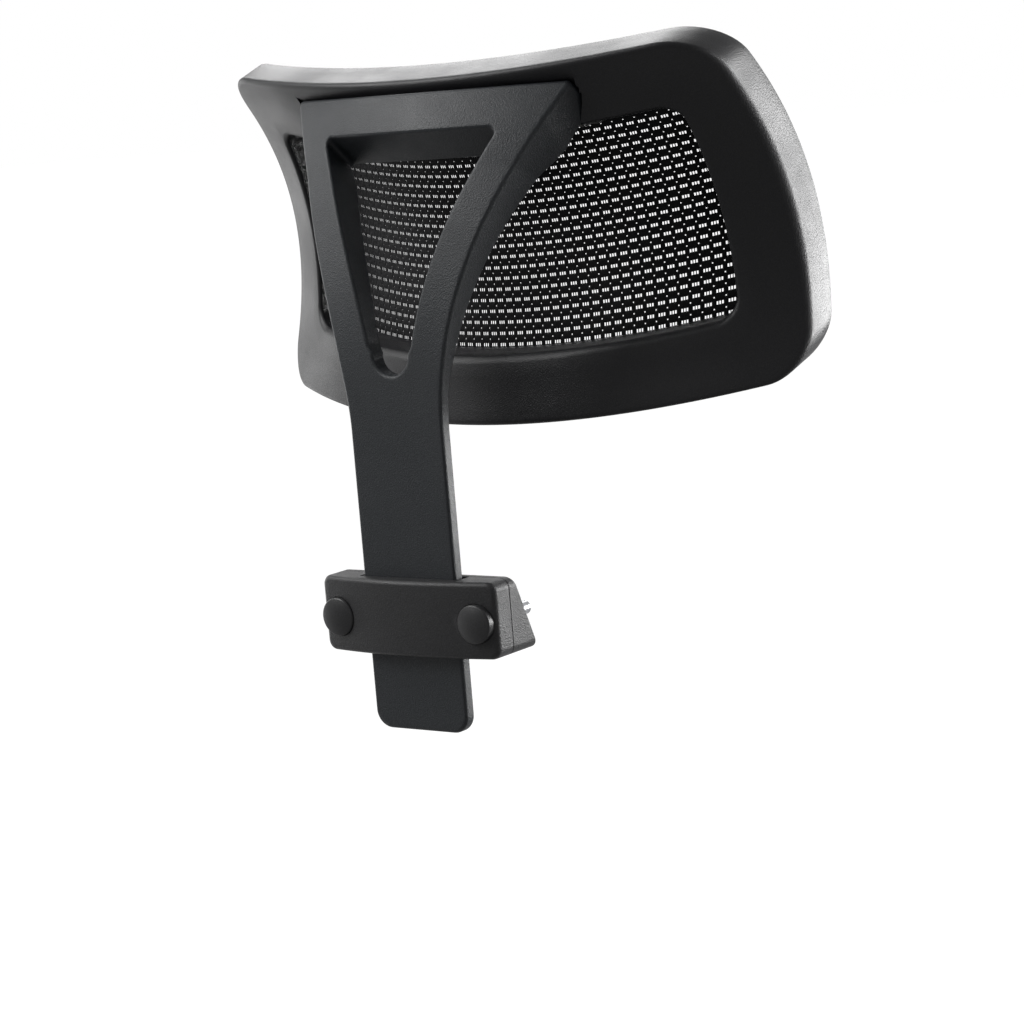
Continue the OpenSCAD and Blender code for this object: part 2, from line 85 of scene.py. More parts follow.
# The front edge of the opening's top sits lower than the rear edge, and eases off over this height.
OPENING_DROP, DROP_EASE = 5.5, 17.0
STOP_GROOVE = (2.8, 2.4, -32.0, 23.0)

HINGE = next(j for j in frame["joints"] if j["name"] == "head_tilt")
PIVOT_Y, PIVOT_Z = HINGE["pos_m"][1] / MM, HINGE["pos_m"][2] / MM
TILT_BACK = -HINGE["range_deg"][0]
KNUCKLE_R, KNUCKLE_IN, KNUCKLE_OUT = 4.1, 58.0, 66.0
NECK_R, NECK_BACK, NECK_SHORT = 3.8, 12.0, 3.5
PIN_R, PIN_FIT = 2.25, 0.02
BUSH_R, FLANGE_R, BUSH_IN, BUSH_OUT = 3.3, 4.5, 67.0, 75.0
SLOT_IN, SLOT_OUT, SLOT_FRONT, SLOT_TOP, SLOT_LOW = 55.5, 66.4, 5.0, 9.1, -5.1
# The pocket's cuts are fragile: a gap of 0.9 and a side of 0.6 left no headrest shell at all.
POCKET_LOW, POCKET_GAP, POCKET_SIDE, POCKET_REAR = 186.0, 0.6, 0.5, -30.0

HEAD_LEAN = math.radians(19.0)
HEAD_HALF_TOP, HEAD_HALF_LOW = 130.0, 145.0
HEAD_TOP, HEAD_LOW = 30.0, -124.0
HEAD_R_TOP, HEAD_R_LOW = 22, 15
WINDOW_HALF_TOP, WINDOW_HALF_LOW = 108.0, 116.0
WINDOW_TOP, WINDOW_LOW = -1.5, -96.0
WINDOW_R_TOP, WINDOW_R_LOW = 9, 8
REAR_GAP, BULGE_Z, BULGE_R = 18.7, -14.0, 200.0
WING_K, WING_Z, WING_FADE = 0.0028, -64.0, 1.26e-7
HEAD_T, FRAME_T = 20.0, 16.0
FRAME_FRONT = 15.75
OUTER_WALL, LEDGE_IN, WALL_T = 2.2, 5.6, 3.2
CHANNEL_D, TOP_CHANNEL_D = 7.5, 1.0
TOP_RAIL_HALF, NEAR_TOP = 95.0, 3
REAR_EDGE_R, FRONT_EDGE_R, FRONT_EDGE_IN = 3.2, 1.4, 0.9
REBATE_W, REBATE_T, MESH_LAP = 8.0, 1.8, 4.4
DRAFT = 3.0
LAY_GAP = 0.25
SPLINE_IN, SPLINE_W, SPLINE_HALF_T = 4.6, 2.8, 0.72
# The carrier's rounded edges: their size, and where their middle point lies.
LIP, LIP_SIDE, LIP_FRONT, REBATE_ROUND = 0.9, 0.25, 0.3, 0.4


# ---- Curves of the bracket ----
def half_w(z):
    rise = max(0.0, z - FLARE_FROM) / (BRACKET_TOP - FLARE_FROM)
    return STEM_W / 2 + FLARE * rise ** FLARE_POWER


def depth_at(z):
    return STEM_T + (BAR_T - STEM_T) * min(1.0, max(0.0, z - THICKEN_FROM) / THICKEN_OVER)


def bracket_point(x, z, reach):
    """A point reach millimetres in front of the bracket's rear face."""
    share = min(1.0, max(0.0, z - SWEEP_FROM) / SWEEP_R)
    a = math.asin(share)
    bow = BOW_K * min(1.0, max(0.0, z - SWEEP_FROM) / (BOW_FULL - SWEEP_FROM))
    y = STEM_Y + SWEEP_R * (1 - math.cos(a)) + bow * x * x
    return Vector((x, y + reach * math.cos(a), z - reach * math.sin(a)))


# ---- Curves of the headrest ----
def rear_d(x, z):
    wing = WING_K - WING_FADE * (z - WING_Z) ** 2
    return -REAR_GAP - (z - BULGE_Z) ** 2 / (2 * BULGE_R) + x * x * wing


def from_head(x, d, z):
    """A point given in the headrest's own frame, as a point in the row frame."""
    c, s = math.cos(HEAD_LEAN), math.sin(HEAD_LEAN)
    return Vector((x, PIVOT_Y + d * c - z * s, PIVOT_Z + d * s + z * c))


def on_head(x, z, d):
    return from_head(x, rear_d(x, z) + d, z)


def turn_corner(before, here, after, radius, steps):
    """The arc that rounds the corner at here."""
    u, w = (before - here).normalized(), (after - here).normalized()
    half = math.acos(u.dot(w)) / 2
    mid = here + (u + w).normalized() * (radius / math.sin(half))
    reach = radius / math.tan(half)
    a, b = here + u * reach - mid, here + w * reach - mid
    a0 = math.atan2(a.y, a.x)
    turn = (math.atan2(b.y, b.x) - a0 + math.pi) % (2 * math.pi) - math.pi
    return [mid + Vector((math.cos(a0 + turn * k / steps), math.sin(a0 + turn * k / steps))) * radius
            for k in range(steps + 1)]


def rounded_outline(half_top, half_low, top, low, r_top, r_low, corner_n, side_n):
    """A rounded four-sided outline as [x, z] points: an arc at each corner, and divided sides."""
    p = [Vector(q) for q in ((half_top, top), (-half_top, top), (-half_low, low), (half_low, low))]
    arcs = [turn_corner(p[i - 1], p[i], p[(i + 1) % 4], r, corner_n)
            for i, r in enumerate((r_top, r_top, r_low, r_low))]
    out = []
    for i in range(4):
        n = side_n[i % 2]
        start, end = arcs[i][-1], arcs[(i + 1) % 4][0]
        out += arcs[i] + [start.lerp(end, k / n) for k in range(1, n)]
    return out


CORNER_N, SIDE_N = 14, (64, 34)
RIM = rounded_outline(HEAD_HALF_TOP, HEAD_HALF_LOW, HEAD_TOP, HEAD_LOW,
                      HEAD_R_TOP, HEAD_R_LOW, CORNER_N, SIDE_N)
WINDOW = rounded_outline(WINDOW_HALF_TOP, WINDOW_HALF_LOW, WINDOW_TOP, WINDOW_LOW,
                         WINDOW_R_TOP, WINDOW_R_LOW, CORNER_N, SIDE_N)


# ---- Mesh helpers ----
def make_object(name, bm, material, smooth=True):
    bmesh.ops.recalc_face_normals(bm, faces=bm.faces)
    data = bpy.data.meshes.new(name)
    for v in bm.verts:
        v.co *= MM
    bm.to_mesh(data)
    bm.free()
    if smooth:
        data.shade_smooth()
    o = bpy.data.objects.new(name, data)
    bpy.context.scene.collection.objects.link(o)
    if material:
        data.materials.append(material)
    return o


def apply_modifiers(o):
    dg = bpy.context.evaluated_depsgraph_get()
    data = bpy.data.meshes.new_from_object(o.evaluated_get(dg))
    old = o.data
    o.modifiers.clear()
    o.data = data
    bpy.data.meshes.remove(old)
    return o


def cut(o, cutter):
    """Takes cutter away from o, and removes the cutter."""
    m = o.modifiers.new("cut", "BOOLEAN")
    m.operation, m.solver, m.object = "DIFFERENCE", "EXACT", cutter
    apply_modifiers(o)
    bpy.data.objects.remove(cutter)
    return o


def sharpen(o, degrees):
    """Keeps the edges that turn by more than this sharp."""
    o.data.set_sharp_from_angle(angle=math.radians(degrees))


def tube(radius, start, end, along="x", segments=64, at=(0, 0, 0)):
    """A closed cylinder, as mesh, along x or y."""
    bm = bmesh.new()
    rings = []
    for t in (start, end):
        ring = []
        for k in range(segments):
            a = 2 * math.pi * k / segments
            u, v = radius * math.cos(a), radius * math.sin(a)
            p = (t, u, v) if along == "x" else (u, t, v)
            ring.append(bm.verts.new(Vector(p) + Vector(at)))
        rings.append(ring)
    for k in range(segments):
        bm.faces.new((rings[0][k], rings[0][(k + 1) % segments],
                      rings[1][(k + 1) % segments], rings[1][k]))
    bm.faces.new(rings[0][::-1])
    bm.faces.new(rings[1])
    return make_object("cutter", bm, None)


def brick(low, high):
    bm = bmesh.new()
    bmesh.ops.create_cube(bm, size=1.0)
    lo, hi = Vector(low), Vector(high)
    for v in bm.verts:
        v.co = Vector((lo[i] + (v.co[i] + 0.5) * (hi[i] - lo[i]) for i in range(3)))
    return make_object("cutter", bm, None, smooth=False)


def ring_mesh(name, section, material):
    """A closed ring round the window. A section point is (share, outward, depth)."""
    bm = bmesh.new()
    loops = []
    for i, (a, b) in enumerate(zip(WINDOW, RIM)):
        out = (b - a).normalized()
        loops.append([bm.verts.new(on_head(*(a.lerp(b, s) + out * o), d)) for s, o, d in section(i)])
    n, m = len(loops), len(loops[0])
    for i in range(n):
        for j in range(m):
            bm.faces.new((loops[i][j], loops[i][(j + 1) % m],
                          loops[(i + 1) % n][(j + 1) % m], loops[(i + 1) % n][j]))
    return make_object(name, bm, material)


# ---- Materials: each is noise-driven, at the scale of real moulded plastic, steel or yarn ----
def new_material(name):
    m = bpy.data.materials.new(name)
    m.use_nodes = True
    nodes, links = m.node_tree.nodes, m.node_tree.links
    return m, nodes, links, nodes["Principled BSDF"]


def noise(nodes, links, coords, per_mm, detail=3.0, rough=0.5):
    n = nodes.new("ShaderNodeTexNoise")
    n.inputs["Scale"].default_value = per_mm / MM
    n.inputs["Detail"].default_value = detail
    n.inputs["Roughness"].default_value = rough
    links.new(coords.outputs["Object"], n.inputs["Vector"])
    return n


def ramp(nodes, links, source, low, high, a, b):
    """Maps source from low..high to a..b, where a and b are numbers."""
    r = nodes.new("ShaderNodeMapRange")
    r.inputs["From Min"].default_value, r.inputs["From Max"].default_value = low, high
    r.inputs["To Min"].default_value, r.inputs["To Max"].default_value = a, b
    links.new(source, r.inputs["Value"])
    return r.outputs["Result"]


def mix_colour(nodes, links, factor, a, b):
    m = nodes.new("ShaderNodeMix")
    m.data_type = "RGBA"
    m.inputs["A"].default_value = (*a, 1)
    m.inputs["B"].default_value = (*b, 1)
    links.new(factor, m.inputs["Factor"])
    return m.outputs["Result"]


def moulded_plastic(name, dark, light, rough, grain=0.5, grain_depth=0.05, worn=(0.09, 0.09, 0.095)):
    """Moulded plastic with a fine spark-eroded grain, uneven roughness, and edges rubbed lighter."""
    m, nodes, links, bsdf = new_material(name)
    coords = nodes.new("ShaderNodeTexCoord")
    speck = noise(nodes, links, coords, 1.4 / grain, 4.0, 0.65)
    cloud = noise(nodes, links, coords, 0.035, 3.0, 0.55)
    speckled = ramp(nodes, links, speck.outputs["Fac"], 0.38, 0.62, 0, 1)
    base = mix_colour(nodes, links, speckled, dark, light)
    wear = nodes.new("ShaderNodeNewGeometry")
    edge = ramp(nodes, links, wear.outputs["Pointiness"], 0.54, 0.62, 0, 0.5)
    patchy = nodes.new("ShaderNodeMath")
    patchy.operation = "MULTIPLY"
    links.new(edge, patchy.inputs[0])
    links.new(ramp(nodes, links, cloud.outputs["Fac"], 0.35, 0.7, 0.2, 1), patchy.inputs[1])
    rubbed = nodes.new("ShaderNodeMix")
    rubbed.data_type = "RGBA"
    links.new(patchy.outputs["Value"], rubbed.inputs["Factor"])
    links.new(base, rubbed.inputs["A"])
    rubbed.inputs["B"].default_value = (*worn, 1)
    links.new(rubbed.outputs["Result"], bsdf.inputs["Base Color"])
    links.new(ramp(nodes, links, cloud.outputs["Fac"], 0.3, 0.7, rough - 0.05, rough + 0.06),
              bsdf.inputs["Roughness"])
    cells = nodes.new("ShaderNodeTexVoronoi")
    cells.inputs["Scale"].default_value = 1 / (grain * MM)
    links.new(coords.outputs["Object"], cells.inputs["Vector"])
    height = nodes.new("ShaderNodeMath")
    height.operation = "ADD"
    links.new(cells.outputs["Distance"], height.inputs[0])
    links.new(speck.outputs["Fac"], height.inputs[1])
    bump = nodes.new("ShaderNodeBump")
    bump.inputs["Strength"].default_value = 0.55
    bump.inputs["Distance"].default_value = grain_depth * MM
    links.new(height.outputs["Value"], bump.inputs["Height"])
    links.new(bump.outputs["Normal"], bsdf.inputs["Normal"])
    return m


def brushed_metal(name, dark, light, rough):
    """Steel with faint stains, and fine noise in its roughness and bump."""
    m, nodes, links, bsdf = new_material(name)
    coords = nodes.new("ShaderNodeTexCoord")
    fine = noise(nodes, links, coords, 3.0, 2.0, 0.6)
    stain = noise(nodes, links, coords, 0.25, 4.0, 0.6)
    stained = ramp(nodes, links, stain.outputs["Fac"], 0.3, 0.7, 0, 1)
    colour = mix_colour(nodes, links, stained, dark, light)
    links.new(colour, bsdf.inputs["Base Color"])
    bsdf.inputs["Metallic"].default_value = 1.0
    links.new(ramp(nodes, links, fine.outputs["Fac"], 0.3, 0.7, rough - 0.08, rough + 0.1),
              bsdf.inputs["Roughness"])
    bump = nodes.new("ShaderNodeBump")
    bump.inputs["Strength"].default_value = 0.3
    bump.inputs["Distance"].default_value = 0.01 * MM
    links.new(fine.outputs["Fac"], bump.inputs["Height"])
    links.new(bump.outputs["Normal"], bsdf.inputs["Normal"])
    return m


def knit_yarn(name):
    """Black polyester yarn: fine drawn-out fibres in colour and bump, and uneven roughness."""
    m, nodes, links, bsdf = new_material(name)
    coords = nodes.new("ShaderNodeTexCoord")
    stretch = nodes.new("ShaderNodeMapping")
    stretch.inputs["Scale"].default_value = (1.0, 1.0, 0.35)
    links.new(coords.outputs["Object"], stretch.inputs["Vector"])
    fibre = nodes.new("ShaderNodeTexNoise")
    fibre.inputs["Scale"].default_value = 4.0 / MM
    fibre.inputs["Detail"].default_value = 3.0
    links.new(stretch.outputs["Vector"], fibre.inputs["Vector"])
    lint = noise(nodes, links, coords, 0.9, 3.0, 0.6)
    colour = mix_colour(nodes, links, ramp(nodes, links, fibre.outputs["Fac"], 0.35, 0.75, 0, 1),
                        (0.003, 0.003, 0.0035), (0.016, 0.016, 0.018))
    links.new(colour, bsdf.inputs["Base Color"])
    links.new(ramp(nodes, links, lint.outputs["Fac"], 0.3, 0.7, 0.55, 0.85), bsdf.inputs["Roughness"])
    bsdf.inputs["Specular IOR Level"].default_value = 0.2
    bump = nodes.new("ShaderNodeBump")
    bump.inputs["Strength"].default_value = 0.7
    bump.inputs["Distance"].default_value = 0.06 * MM
    links.new(fibre.outputs["Fac"], bump.inputs["Height"])
    links.new(bump.outputs["Normal"], bsdf.inputs["Normal"])
    return m


BRACKET_BLACK = moulded_plastic("bracket_plastic", (0.0125, 0.0145, 0.0170), (0.031, 0.035, 0.040), 0.46,
                                grain=0.65, grain_depth=0.17)
FRAME_BLACK = moulded_plastic("frame_plastic", (0.006, 0.006, 0.0075), (0.016, 0.016, 0.018), 0.42,
                              grain=0.6, grain_depth=0.13)
CLAMP_BLACK = moulded_plastic("clamp_plastic", (0.015, 0.015, 0.016), (0.032, 0.032, 0.034), 0.44,
                              grain=0.65, grain_depth=0.16)
CAP_BLACK = moulded_plastic("cap_plastic", (0.020, 0.020, 0.021), (0.034, 0.034, 0.036), 0.36,
                            grain=0.6, grain_depth=0.03)
SPLINE_BLACK = moulded_plastic("spline_plastic", (0.010, 0.010, 0.010), (0.020, 0.020, 0.021), 0.6,
                               grain=0.8, grain_depth=0.04)
SLIDE_GREY = moulded_plastic("slide_plastic", (0.05, 0.05, 0.05), (0.08, 0.08, 0.078), 0.38,
                             grain=0.9, grain_depth=0.02, worn=(0.14, 0.14, 0.14))
STEEL = brushed_metal("steel", (0.42, 0.43, 0.45), (0.62, 0.63, 0.65), 0.3)
SPRING_STEEL = brushed_metal("spring_steel", (0.30, 0.29, 0.27), (0.50, 0.47, 0.42), 0.35)
YARN = knit_yarn("mesh_fabric")


# ---- Plates: drawn flat with rounded edges, divided into a grid, then bent to shape ----
FRONT_SIDE = 1000.0


def inward_normals(chain, closed):
    """For each point, the normal towards the material, on the right hand of the way along."""
    n = len(chain)
    sides = []
    for i in range(n if closed else n - 1):
        way = (chain[(i + 1) % n] - chain[i]).normalized()
        sides.append(Vector((way.y, -way.x)))
    out = []
    for i in range(n):
        if closed:
            a, b = sides[i - 1], sides[i]
        else:
            a, b = sides[max(0, i - 1)], sides[min(n - 2, i)]
        out.append((a + b) / (1 + a.dot(b)))
    return out


def flat_plate(chains, closed, rear_r, front_r, xs, zs, steps=4):
    """A plate with rounded edges in the x, z plane. Its y says how far in from the rear a point
    is, or, from FRONT_SIDE down, how far in from the front."""
    bm = bmesh.new()
    quarter = [math.pi / 2 * k / steps for k in range(steps + 1)]
    profile = [(rear_r * (1 - math.sin(a)), rear_r * (1 - math.cos(a))) for a in quarter]
    profile += [(front_r * (1 - math.cos(a)), FRONT_SIDE - front_r * (1 - math.sin(a))) for a in quarter]
    caps = [[], []]
    for chain in chains:
        rows = []
        for p, n in zip(chain, inward_normals(chain, closed)):
            if not closed and abs(p.x) < 1e-6:
                n = Vector((0, n.y / abs(n.y)))
            rows.append([bm.verts.new((p.x + n.x * i, y, p.y + n.y * i)) for i, y in profile])
        count = len(rows) if closed else len(rows) - 1
        for i in range(count):
            here, after = rows[i], rows[(i + 1) % len(rows)]
            for k in range(len(profile) - 1):
                bm.faces.new((here[k], here[k + 1], after[k + 1], after[k]))
        caps[0] += [row[0] for row in rows]
        caps[1] += [row[-1] for row in rows]
    for cap in caps:
        bm.faces.new(cap)
    bm.normal_update()
    bmesh.ops.triangulate(bm, faces=[f for f in bm.faces if len(f.verts) > 4])
    for axis, places in ((0, xs), (2, zs)):
        for place in places:
            at, normal = [0, 0, 0], [0, 0, 0]
            at[axis], normal[axis] = place, 1
            bmesh.ops.bisect_plane(bm, geom=bm.verts[:] + bm.edges[:] + bm.faces[:], dist=1e-4,
                                   plane_co=at, plane_no=normal)
    return bm


def weigh_normals(o):
    m = o.modifiers.new("flat_faces", "WEIGHTED_NORMAL")
    m.keep_sharp = True
    return o


# ---- Bracket ----
def bracket_chains():
    """The right half's outline, and the right half of the opening, as chains of x, z points."""
    tip = Vector((half_w(BRACKET_TOP), BRACKET_TOP))
    below = Vector((half_w(BRACKET_TOP - TIP_RUN), BRACKET_TOP - TIP_RUN))
    outer = [Vector((0, BRACKET_TOP))]
    outer += turn_corner(outer[0], tip, below, TIP_FILLET, 8)
    outer += [Vector((half_w(z), z)) for z in np.linspace(BRACKET_TOP - TIP_RUN, FLARE_FROM, 60)]
    foot = Vector((STEM_W / 2, STEM_LOW))
    outer += turn_corner(Vector((STEM_W / 2, 0)), foot, Vector((0, STEM_LOW)), LOW_ROUND, 10)
    outer.append(Vector((0, STEM_LOW)))
    middle = OPENING_LOW + OPENING_R
    opening = [Vector((OPENING_R * math.sin(a), middle - OPENING_R * math.cos(a)))
               for a in np.linspace(0, math.pi / 2, 12)]
    opening += [Vector((half_w(z) - ARM_W, z))
                for z in np.linspace(middle + 3, OPENING_TOP - TIP_RUN, 44)]
    corner = Vector((half_w(OPENING_TOP) - ARM_W, OPENING_TOP))
    opening += turn_corner(opening[-1], corner, Vector((0, OPENING_TOP)), OPENING_FILLET, 8)
    opening.append(Vector((0, OPENING_TOP)))
    return outer, opening


def build_bracket():
    xs = np.linspace(4, 72, 18)
    zs = list(np.linspace(STEM_LOW + 10, SWEEP_FROM - 10, 12)) + list(np.linspace(100, 220, 41))
    bm = flat_plate(bracket_chains(), False, BRACKET_REAR_EDGE, BRACKET_FRONT_EDGE, xs, zs)
    right = bm.verts[:] + bm.edges[:] + bm.faces[:]
    left = bmesh.ops.duplicate(bm, geom=right)["geom"]
    for v in left:
        if isinstance(v, bmesh.types.BMVert):
            v.co.x = -v.co.x
    bmesh.ops.remove_doubles(bm, verts=bm.verts, dist=1e-3)
    for v in bm.verts:
        x, y, z = v.co
        if y < FRONT_SIDE / 2:
            v.co = bracket_point(x, z, y)
        else:
            drop = OPENING_DROP * max(0.0, 1 - abs(z - OPENING_TOP) / DROP_EASE)
            v.co = bracket_point(x, z - drop, depth_at(z) - (FRONT_SIDE - y))
    o = make_object("bracket_body", bm, BRACKET_BLACK)
    half, deep, low, high = STOP_GROOVE
    cut(o, brick((-half, STEM_Y + STEM_T - deep, low), (half, STEM_Y + STEM_T + 5, high)))
    return weigh_normals(o)


def build_knuckle(s):
    """The hinge ear at one tip: a round boss on a neck, drilled for the pin."""
    def at(y, z, r, x0, x1):
        return [(x, y + r * math.cos(a), z + r * math.sin(a))
                for x in (x0, x1) for a in np.linspace(0, 2 * math.pi, 40, endpoint=False)]
    bm = bmesh.new()
    points = at(PIVOT_Y, PIVOT_Z, KNUCKLE_R, KNUCKLE_IN, KNUCKLE_OUT)
    points += at(PIVOT_Y - NECK_BACK, PIVOT_Z - 1, NECK_R, KNUCKLE_IN, KNUCKLE_OUT - NECK_SHORT)
    for x, y, z in points:
        bm.verts.new((s * x, y, z))
    hull = bmesh.ops.convex_hull(bm, input=bm.verts)
    bmesh.ops.delete(bm, geom=[v for v in hull["geom_interior"] if isinstance(v, bmesh.types.BMVert)],
                     context="VERTS")
    o = make_object("hinge_ear_left" if s < 0 else "hinge_ear_right", bm, BRACKET_BLACK)
    cut(o, tube(PIN_R + PIN_FIT, s * (KNUCKLE_IN - 1), s * (KNUCKLE_OUT + 1), at=(0, PIVOT_Y, PIVOT_Z)))
    sharpen(o, 38)
    return o


# ---- Headrest ----
def bar_room():
    """The room that the bracket's bar needs in the top rail, as a closed mesh."""
    a0 = math.asin((POCKET_LOW - SWEEP_FROM) / SWEEP_R)
    a1 = math.asin((BRACKET_TOP - SWEEP_FROM) / SWEEP_R) + POCKET_GAP / SWEEP_R
    columns, heights = 40, 14
    bm = bmesh.new()
    layers = []
    for reach in (POCKET_REAR, BAR_T + POCKET_GAP):
        layer = []
        for a in np.linspace(a0, a1, heights):
            z = SWEEP_FROM + SWEEP_R * math.sin(a)
            w = half_w(min(z, BRACKET_TOP)) + POCKET_SIDE
            layer.append([bm.verts.new(bracket_point(x, z, reach)) for x in np.linspace(-w, w, columns)])
        layers.append(layer)
    rear, front = layers
    for r in range(heights - 1):
        for c in range(columns - 1):
            for g in layers:
                bm.faces.new((g[r][c], g[r][c + 1], g[r + 1][c + 1], g[r + 1][c]))
        for c in (0, columns - 1):
            bm.faces.new((rear[r][c], rear[r + 1][c], front[r + 1][c], front[r][c]))
    for c in range(columns - 1):
        for r in (0, heights - 1):
            bm.faces.new((rear[r][c], rear[r][c + 1], front[r][c + 1], front[r][c]))
    return make_object("cutter", bm, None)


def turned_about_pivot(o, degrees):
    pivot = Matrix.Translation(Vector((0, PIVOT_Y, PIVOT_Z)) * MM)
    o.data.transform(pivot @ Matrix.Rotation(math.radians(degrees), 4, "X") @ pivot.inverted())
    return o


def head_brick(low, high):
    """A block drawn in the headrest's own frame."""
    o = brick(low, high)
    place = Matrix.Translation(Vector((0, PIVOT_Y, PIVOT_Z)) * MM) @ Matrix.Rotation(HEAD_LEAN, 4, "X")
    o.data.transform(place)
    return o


def arc(centre, radius, start, end, steps):
    """Points of an arc in a section's (outward, depth) plane. Angles are in degrees."""
    return [(centre[0] + radius * math.cos(math.radians(a)), centre[1] + radius * math.sin(math.radians(a)))
            for a in np.linspace(start, end, steps)]


def frame_section(i):
    """Window wall, bevel, rear face, round outer edge, outer wall, ledge and channel."""
    top_rail = RIM[i].y > HEAD_TOP - NEAR_TOP or (WINDOW[i].y > WINDOW_TOP - NEAR_TOP
                                                  and abs(WINDOW[i].x) < TOP_RAIL_HALF)
    floor = FRAME_FRONT - (TOP_CHANNEL_D if top_rail else CHANNEL_D)
    rear_edge = arc((-REAR_EDGE_R, REAR_EDGE_R), REAR_EDGE_R, 270, 360, 8)
    front_edge = arc((-FRONT_EDGE_IN, HEAD_T - FRONT_EDGE_R), FRONT_EDGE_R, 0, 90, 5)
    inner = [(0, DRAFT, FRAME_FRONT), (0, DRAFT * 0.6, 10.0), (0, 0.15, 3.6), (0, 0.1, 2.6),
             (0, 0.4, 1.7), (0, 1.1, 0.8), (0, 1.9, 0.25), (0, 2.8, 0.0)]
    face = [(share, 0.0, 0.0) for share in (0.3, 0.4, 0.5, 0.6, 0.7)]
    outer = [(1, x, d) for x, d in rear_edge] + [(1, 0.15, 8.0), (1, 0.3, 13.0)]
    front = [(1, x, d) for x, d in front_edge]
    back = [(1, -OUTER_WALL, HEAD_T), (1, -OUTER_WALL, FRAME_FRONT), (1, -LEDGE_IN, FRAME_FRONT),
            (1, -LEDGE_IN, floor), (0.5, 0.0, floor), (0, DRAFT + WALL_T, floor),
            (0, DRAFT + WALL_T, FRAME_FRONT)]
    return inner + face + outer + front + back


def carrier_section(_):
    out = -OUTER_WALL - LAY_GAP
    return [(0, DRAFT, FRAME_T), (0.5, 0.0, FRAME_T), (1, out, FRAME_T), (1, out, HEAD_T - LIP),
            (1, out - LIP_SIDE, HEAD_T - LIP_FRONT), (1, out - LIP, HEAD_T), (0.6, 0.0, HEAD_T),
            (0, REBATE_W + LIP, HEAD_T), (0, REBATE_W + LIP_SIDE, HEAD_T - LIP_FRONT),
            (0, REBATE_W, HEAD_T - LIP), (0, REBATE_W, HEAD_T - REBATE_T),
            (0, DRAFT + REBATE_ROUND, HEAD_T - REBATE_T),
            (0, DRAFT, HEAD_T - REBATE_T - REBATE_ROUND)]


def spline_section(_):
    middle = HEAD_T - REBATE_T + LAY_GAP + SPLINE_HALF_T
    shape = ((-1, -1), (1, -1), (1, 0.3), (0.7, 0.85), (0.2, 1), (-0.2, 1), (-0.7, 0.85), (-1, 0.3))
    return [(0, SPLINE_IN + SPLINE_W / 2 + x * SPLINE_W / 2, middle + d * SPLINE_HALF_T)
            for x, d in shape]


def build_frame():
    o = ring_mesh("headrest_shell", frame_section, FRAME_BLACK)
    for degrees in (0.0, TILT_BACK / 2, TILT_BACK):
        cut(o, turned_about_pivot(bar_room(), degrees))
    for s in (-1, 1):
        x = sorted((s * SLOT_IN, s * SLOT_OUT))
        cut(o, head_brick((x[0], -FAR, SLOT_LOW), (x[1], SLOT_FRONT, SLOT_TOP)))
        cut(o, tube(BUSH_R, s * (BUSH_IN - 1), s * BUSH_OUT, at=(0, PIVOT_Y, PIVOT_Z)))
        cut(o, tube(FLANGE_R, s * (BUSH_IN - 1), s * (BUSH_IN + 1), at=(0, PIVOT_Y, PIVOT_Z)))
    for p in o.data.polygons:
        p.use_smooth = True
    sharpen(o, 38)
    return o


# ---- Mesh ----
CELL_W, CELL_H = 4.7, 4.65
THREAD = 0.4
SLOT_H, SLOT_GAP = 1.3, 1.9
DOT = 0.5
YARN_T = 0.3
PANEL_HALF_T = 0.6
# The lattice is drawn this much too large, and its points nearer than WELD are joined.
SPARE, WELD = 2, 0.02


def lattice_columns():
    """One cell across: (width, kind), with a dot hole in the wide cord and three slots beside it."""
    slot_w = (CELL_W - SLOT_GAP - 2 * THREAD) / 3
    side = (SLOT_GAP - DOT) / 2
    return [(side, "cord"), (DOT, "dot"), (side, "cord"), (slot_w, "slot"), (THREAD, "thread"),
            (slot_w, "slot"), (THREAD, "thread"), (slot_w, "slot")]


def lattice_rows():
    rest = (CELL_H - SLOT_H - DOT) / 2
    return [(rest, "cord"), (DOT, "dot"), (rest, "cord"), (SLOT_H, "slot")]


EDGE = [a + (b - a).normalized() * MESH_LAP for a, b in zip(WINDOW, RIM)]
INSIDE = Vector((0, -48))
EDGE_SIGN = 1.0 if (EDGE[1] - EDGE[0]).cross(INSIDE - EDGE[0]) > 0 else -1.0


def nearest_on_edge(x, z):
    """The nearest point of the mesh's cut edge: its distance, itself, and which side x, z is on."""
    p = Vector((x, z))
    best = None
    for i, a in enumerate(EDGE):
        b = EDGE[(i + 1) % len(EDGE)]
        side = (b - a).cross(p - a)
        t = max(0.0, min(1.0, (p - a).dot(b - a) / (b - a).length_squared))
        q = a.lerp(b, t)
        d = (p - q).length
        if best is None or d < best[0]:
            best = (d, q, side)
    return best


